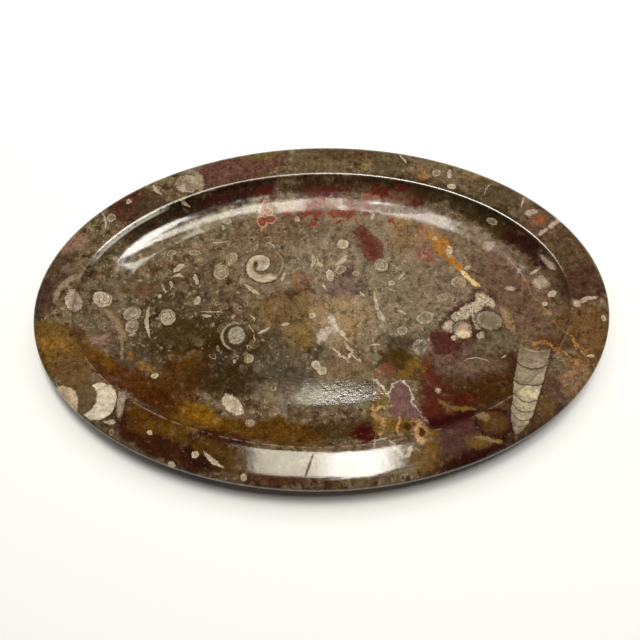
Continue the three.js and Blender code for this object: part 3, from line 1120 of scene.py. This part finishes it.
def ring_goniatite(stone):
    """The mottled goniatite low on the left of the well, with its ring broken at the right."""
    x, y = -58, -20.5
    if not stone.meets(x, y, 15):
        return
    along, across = measured(stone.ruffled, x, y, 9.2, 10.4, 0)
    reach = (along * along + across * across).maths("SQRT") + swing(stone.grain, 0.25)
    stone.lay(reach.step(1.05, 0.95, 0.75), (66, 54, 38))
    ring = abs(reach - 0.9).step(0.11, 0.05, 0.85) * (along - across * 0.3).step(0.25, -0.2)
    stone.lay(ring, (170, 152, 122))
    faint = abs(reach - 1.4).step(0.07, 0.02, 0.6) * along.step(0.5, 1) * across.step(0.5, 0)
    stone.lay(faint, (120, 72, 50))
    disc = oval(stone.ruffled, x + 1.4, y + 0.4, 5.6, 6.6, 0).maths("SQRT") + swing(stone.grain, 0.5)
    stone.lay(disc.step(1.06, 0.9, 0.95), (176, 162, 140))
    spots = stone.grain.step(0.5, 0.4, 0.8) * disc.step(0.95, 0.8)
    stone.lay(spots, (110, 96, 78))


def pale_arris_line_and_painted_highlight(stone):
    """A pale line along the edge of the well, and a wide painted highlight at its far left end."""
    inside = oval(stone.ruffled, 0, 0, 173, 108).step(1.02, 0.98)
    near = oval(stone.ruffled, -8, 0, 150, 92).step(0.98, 1.04)
    near = near * oval(stone.ruffled, -8, 60, 260, 130).step(0.78, 0.98)
    line = abs(stone.height - 20.9).step(0.75, 0.2, 0.75) * stone.lumps.step(0.36, 0.56)
    stone.lay(line * inside * near, (176, 142, 116))
    if not stone.meets(-140, 55, 40):
        return
    # Painted highlight: a bright cream band where the far left of the well's edge and wall would
    # shine.
    left = oval(stone.ruffled, -133, 58, 32, 12, 46).step(1.6, 0.4)
    wall = oval(stone.ruffled, 0, 0, 165, 100.4).step(1.0, 0.97)
    band = abs(stone.height - 20.2).step(2, 0.8) * stone.lumps.step(0.3, 0.5, 0.95)
    stone.lay(band * left * wall, (255, 250, 236))


def rim_splashes(stone):
    """Pale and orange splashes at the far right of the rim and wall, round a dark patch of painted
    shade on the wall.
    """
    # Painted shade: a dark patch on the far right wall of the well.
    painted_shade = [(140, 42, 13, 5, -38), (150, 30, 6, 5, -50)]
    stone.stain(painted_shade, (46, 26, 22), 0.85, 0.3, 1.4)
    stone.stain([(152, 58, 5, 4, 30)], (150, 92, 54), 0.8, 0.4, 3)
    pale = strand((150, 46, 2), (158, 51, 3), (166, 58, 4)) + [(148, 64, 4.6, 2.6, 10)]
    pale += strand((151, 32, 2), (155, 27, 4), (158, 22, 1.6))
    pale += strand((170, -6, 2), (175, -3.4, 3), (180, -3, 1.6)) + [(168, -7, 2.4, 2.6, 0)]
    pale += [(118, 44, 4, 3, 0), (150, 14, 4.4, 4.4, -30), (129, 11.6, 3.4, 1.6, 4)]
    stone.stain(pale, (190, 168, 146), 0.8, 0.35, 2.4)


def pink_streaks(stone):
    """Faint pink streaks in the near left of the well."""
    rows = [(-26, -68, 1.8, 7, 16), (-29, -72, 1.4, 4, 40)]
    stone.stain(rows, (160, 142, 128), 0.5, 0.9, 2)


def small_shells(stone):
    """The small shells, cut across: pale ovals, ovals with rings and slivers."""
    stops = [
        (0.0, (176, 160, 132), 0.9),
        (0.6, (184, 168, 140), 0.95),
        (0.88, (206, 194, 168), 0.95),
        (1.0, (150, 130, 102), 0.7),
        (1.1, (60, 48, 34), 0.25),
        (1.25, (60, 48, 34), 0),
    ]
    stone.ring(PALE_SHELLS, stops)
    stops = [
        (0.0, (168, 150, 124), 0.8),
        (0.2, (108, 92, 72), 0.8),
        (0.38, (160, 144, 118), 0.8),
        (0.58, (128, 112, 90), 0.75),
        (0.8, (188, 172, 146), 0.85),
        (0.95, (160, 142, 116), 0.8),
        (1.04, (56, 44, 30), 0.45),
        (1.16, (56, 44, 30), 0),
    ]
    stone.ring(RINGED_SHELLS, stops)
    stone.splinter(PALE_SLIVERS, (192, 176, 150), 0.85)


# In the order that they are painted.
FOSSILS = (
    small_shells,
    coiled_shells,
    pink_streaks,
    rim_splashes,
    pale_arris_line_and_painted_highlight,
    maroon_blot,
    red_marks,
    orange_veins,
    left_rim_shells,
    shell_spiral,
    ring_goniatite,
    skeletal_outline,
    scalloped_shell,
    purple_patch,
    dark_chamber,
    cream_crescents,
    orthoceras,
)


def strewn(place, cell, length, width, seed, share):
    """Small blobs strewn through the stone, one to a cell, each turned its own way.

    Gives the depth in them, 1 in the middle and 0 on the outline, and which end is nearer.
    Only a share of the cells hold one."""
    offset = {"Location": (seed * 31.7, seed * 17.3, seed * 23.9), "Scale": (1, 1, 0.3)}
    spread = Flow.node("Mapping", {}, {"Vector": place, **offset})
    sockets = {"Vector": spread, "Scale": 1 / cell, "Randomness": 0.85}
    cells = Flow.node("TexVoronoi", {}, sockets, "Color")
    away = vector_maths("SUBTRACT", spread, cells.other("Position"))
    chance = Flow.node("SeparateColor", {}, {0: cells}, "Blue")
    turned = vector_maths("SUBTRACT", cells, (0.5, 0.5, 0.5))
    along = dot(away, vector_maths("NORMALIZE", turned, (0, 0, 0)))
    squared = along * along
    across = dot(away, away) - squared
    distance = squared * (1 / length**2) + across * (1 / width**2)
    ragged = swing(noise(place, length * 0.6, 2, 0.6), 0.9)
    depth = (1 - distance.maths("SQRT") + ragged) * chance.step(share + 0.02, share - 0.02)
    return depth, along * (1 / length)


def ground(stone):
    """The grey-brown ground of the stone: cloudy, and darker between its lumps."""
    broad = noise(stone.place, 30, 3, 0.6)
    stone.colour = over(broad.step(0.35, 0.65), (98, 80, 55), (118, 100, 74))
    stone.lay(stone.lumps.step(0.5, 0.36, 0.75), (72, 54, 30))
    stone.lay(stone.lumps.step(0.54, 0.68, 0.6), (142, 124, 97))


def shell_hash(stone):
    """Shell bits of many sizes all through the stone: arcs, rings, crumbs and dark hollows."""
    hollows, _ = strewn(stone.place, cell=6.4, length=3, width=1.8, seed=5, share=0.55)
    stone.lay(hollows.step(0.0, 0.5, 0.45), (60, 46, 27))
    discs, _ = strewn(stone.place, cell=12, length=4.6, width=3.4, seed=3, share=0.4)
    stone.lay(discs.step(0.02, 0.3, 0.4), (134, 116, 90))
    stone.lay(abs(discs - 0.08).step(0.1, 0.02, 0.35), (162, 144, 116))
    arcs, lean = strewn(stone.place, cell=7.6, length=4.2, width=1.8, seed=2, share=0.75)
    lit_side = lean.step(-0.35, 0.2)
    stone.lay(abs(arcs - 0.22).step(0.17, 0.05, 0.7) * lit_side, (176, 160, 134))
    stone.lay(arcs.step(0.3, 0.5, 0.4), (84, 68, 46))
    arcs, lean = strewn(stone.place, cell=4.2, length=2.2, width=0.95, seed=7, share=0.7)
    lit_side = lean.step(-0.35, 0.2)
    stone.lay(abs(arcs - 0.3).step(0.28, 0.08, 0.6) * lit_side, (164, 146, 118))
    crumbs, _ = strewn(stone.place, cell=5, length=2.4, width=0.75, seed=1, share=0.75)
    stone.lay(crumbs.step(0.0, 0.5, 0.6), (166, 148, 120))
    dots, _ = strewn(stone.place, cell=3.2, length=0.8, width=0.65, seed=8, share=0.5)
    stone.lay(dots.step(0.0, 0.4, 0.6), (172, 156, 128))


def seams_and_grain(stone):
    """Dark seams and lights that run through the ground and its stains."""
    seam = abs(noise(stone.place, 12, 5, 0.65) - 0.5)
    stone.lay(seam.step(0.03, 0.004, 0.6) * stone.lumps.step(0.56, 0.46), (56, 32, 22))
    stone.lay(0.22, stone.hues, "OVERLAY")
    stone.lay(stone.lumps.step(0.46, 0.3, 0.35), INK)
    stone.lay(stone.lumps.step(0.56, 0.72, 0.2), BUFF)
    stone.lay(stone.grain.step(0.38, 0.26, 0.3), INK)
    stone.lay(stone.grain.step(0.62, 0.74, 0.25), CREAM)


def paint_stone(stone):
    """Paints the stone all through, and the fossils that its polished top shows."""
    ground(stone)
    stone.cloud(CLOUDS)
    shell_hash(stone)
    stone.cloud(STAINS)
    seams_and_grain(stone)
    plain = stone.colour
    for paint in FOSSILS:
        paint(stone)
    facing = Flow.node("TexCoord", {}, {}, "Normal")
    up = Flow.node("SeparateXYZ", {}, {0: facing}, "Z")
    stone.colour = over(up.step(0.1, 0.35), plain, stone.colour)
    stone.mottle(noise(stone.place, 3.6, 5, 0.72), 0.3, 0.7, 0.27, 0.76)
    stone.mottle(noise(stone.place, 0.8, 1, 0.6), 0.25, 0.75, 0.32, 0.68)
    return stone.colour


def roughness(stone):
    """How rough the surface is: the rim and cove shine, and the underside is duller."""
    return 0.08 + stone.lumps.step(0.4, 0.7, 0.05) + stone.height.step(8, 2, 0.22)


def dullness(stone):
    """How much of the polish is worn off, place by place."""
    dull = stone.grain.step(0.52, 0.72, 0.25)
    for x, y, half_long, half_wide, turn, soft, amount in stone.choose(DULL_PATCHES, 6):
        distance = oval(stone.flat, x, y, half_long, half_wide, turn)
        distance = distance + swing(stone.lumps, 1.6)
        dull = dull.most(distance.step((1 + soft) ** 2, (1 - soft) ** 2, amount))
    if stone.choose([WORN_FLOOR]):
        around = oval(stone.flat, *WORN_FLOOR).step(1.5, 0.7, 0.92)
        kept = oval(stone.flat, *KEPT_POLISH) + swing(stone.lumps, 3)
        dull = dull.most(around * (kept.step(0.2, 1.8, 0.85) + 0.15))
    return dull


def relief(stone):
    """The bump of the polish: long waves, crossing scratches, and pits in the worn floor."""
    waves = noise(stone.place, 18, 3, 0.5) * 0.09
    long_way = {"Vector": stone.place, "Rotation": (0, 0, -0.6), "Scale": (0.09, 1.4, 1)}
    scratches = noise(Flow.node("Mapping", {}, long_way), 1, 2, 0.6) * 0.018
    pits = noise(stone.place, 2.2, 1, 0.5) * stone.height.step(9.6, 9.05, 0.05)
    sockets = {"Strength": 1, "Distance": MM, "Height": waves + scratches + pits}
    return Flow.node("Bump", {}, sockets)


POLISH_IOR = 1.47
WORN_IOR = 1.1
WORN_ROUGHNESS = 0.6


def make_stone(name, stone):
    """The polished fossil limestone of one stretch, with worn stone mixed in where it is dull."""
    material = bpy.data.materials.new(name)
    material.use_nodes = True
    Flow.nodes = material.node_tree.nodes
    Flow.links = material.node_tree.links
    metres = Flow.node("TexCoord", {}, {}, "Object")
    stone.lay_out(Flow.node("Mapping", {}, {"Vector": metres, "Scale": (1 / MM,) * 3}))
    colour = paint_stone(stone)
    shader = Flow.nodes["Principled BSDF"]
    shader.inputs["IOR"].default_value = POLISH_IOR
    Flow.links.new(colour.socket, shader.inputs["Base Color"])
    Flow.links.new(roughness(stone).socket, shader.inputs["Roughness"])
    Flow.links.new(relief(stone).socket, shader.inputs["Normal"])
    sockets = {"Base Color": colour, "Roughness": WORN_ROUGHNESS, "IOR": WORN_IOR}
    worn = Flow.node("BsdfPrincipled", {}, sockets)
    sockets = {0: dullness(stone), 1: Flow(shader.outputs[0]), 2: worn}
    surface = Flow.node("MixShader", {}, sockets)
    Flow.links.new(surface.socket, Flow.nodes["Material Output"].inputs["Surface"])
    return material


# Where the plate is parted into stretches, each with its own copy of the stone.
PATCH_EDGES_X = (-HALF_LENGTH, -95, 0, 95, HALF_LENGTH)
PATCH_EDGES_Y = (-HALF_WIDTH, 0, HALF_WIDTH)


def cover_plate():
    """Gives each stretch of the plate its copy of the stone."""
    columns = list(zip(PATCH_EDGES_X, PATCH_EDGES_X[1:]))
    rows = list(zip(PATCH_EDGES_Y, PATCH_EDGES_Y[1:]))
    for column, (left, right) in enumerate(columns):
        for row, (front, back) in enumerate(rows):
            name = f"fossil_limestone_{column + 1}_{row + 1}"
            plate.data.materials.append(make_stone(name, Stone(left, right, front, back)))
    for face in plate.data.polygons:
        x, y = face.center.x / MM, face.center.y / MM
        column = sum(x > edge for edge in PATCH_EDGES_X[1:-1])
        row = sum(y > edge for edge in PATCH_EDGES_Y[1:-1])
        face.material_index = column * len(rows) + row


cover_plate()

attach(plate, "root")
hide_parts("plate")

# The floor.
bpy.ops.object.select_all(action="DESELECT")
bpy.ops.mesh.primitive_plane_add(size=6, location=(0, 0, 0))
floor = bpy.context.object
floor.name = "floor"
pale = bpy.data.materials.new("floor_pale")
pale.use_nodes = True
pale.node_tree.nodes["Principled BSDF"].inputs["Base Color"].default_value = (0.95, 0.95, 0.95, 1)
pale.node_tree.nodes["Principled BSDF"].inputs["Roughness"].default_value = 0.9
floor.data.materials.append(pale)


def panel(name, middle, size, power, colour, mirrored=True):
    """A soft light panel that faces straight down. One that isn't mirrored only fills shadows."""
    bpy.ops.object.light_add(type="AREA", location=middle)
    lamp = bpy.context.object
    lamp.name = name
    lamp.data.shape = "RECTANGLE"
    lamp.data.size, lamp.data.size_y = size
    lamp.data.energy = power
    lamp.data.color = colour
    lamp.visible_glossy = mirrored


SOFTBOX_HEIGHT = 1.5
WARM_WHITE = (1, 0.98, 0.9)
panel("bright_softbox", (0.1, 0.305, SOFTBOX_HEIGHT), (0.19, 0.23), 4.1, WARM_WHITE)
panel("dim_softbox", (-0.0925, 0.295, SOFTBOX_HEIGHT), (0.195, 0.37), 3.1, (1, 0.96, 0.78))
panel("side_softbox", (0.18, -0.035, SOFTBOX_HEIGHT), (0.24, 0.29), 6.0, WARM_WHITE)
panel("middle_softbox", (0.09, 0.15, SOFTBOX_HEIGHT), (0.22, 0.08), 1.6, WARM_WHITE)
panel("ceiling_bounce", (0, 0.8, 1.62), (3.4, 1.4), 29, (1, 0.99, 0.97), mirrored=False)

world = bpy.data.worlds.new("studio")
world.use_nodes = True
world.node_tree.nodes["Background"].inputs["Color"].default_value = (1, 0.96, 0.88, 1)
world.node_tree.nodes["Background"].inputs["Strength"].default_value = 0.05
bpy.context.scene.world = world
bpy.context.scene.view_settings.view_transform = "Standard"

# The camera looks down at the plate from in front, turned a degree to the right.
ELEVATION = math.radians(65.43)
ROLL = math.radians(0.99)
DISTANCE = 0.4671
AIM = (-0.00098, -0.01078, 0.011)
SENSOR_WIDTH = 36
LENS = 39.375
bpy.ops.object.camera_add(
    location=(
        AIM[0],
        AIM[1] - DISTANCE * math.cos(ELEVATION),
        AIM[2] + DISTANCE * math.sin(ELEVATION),
    ),
    rotation=(math.pi / 2 - ELEVATION, 0, 0),
)
camera = bpy.context.object
camera.name = "camera"
camera.data.sensor_width = SENSOR_WIDTH
camera.data.lens = LENS
camera.rotation_euler.rotate_axis("Z", -ROLL)
bpy.context.scene.camera = camera
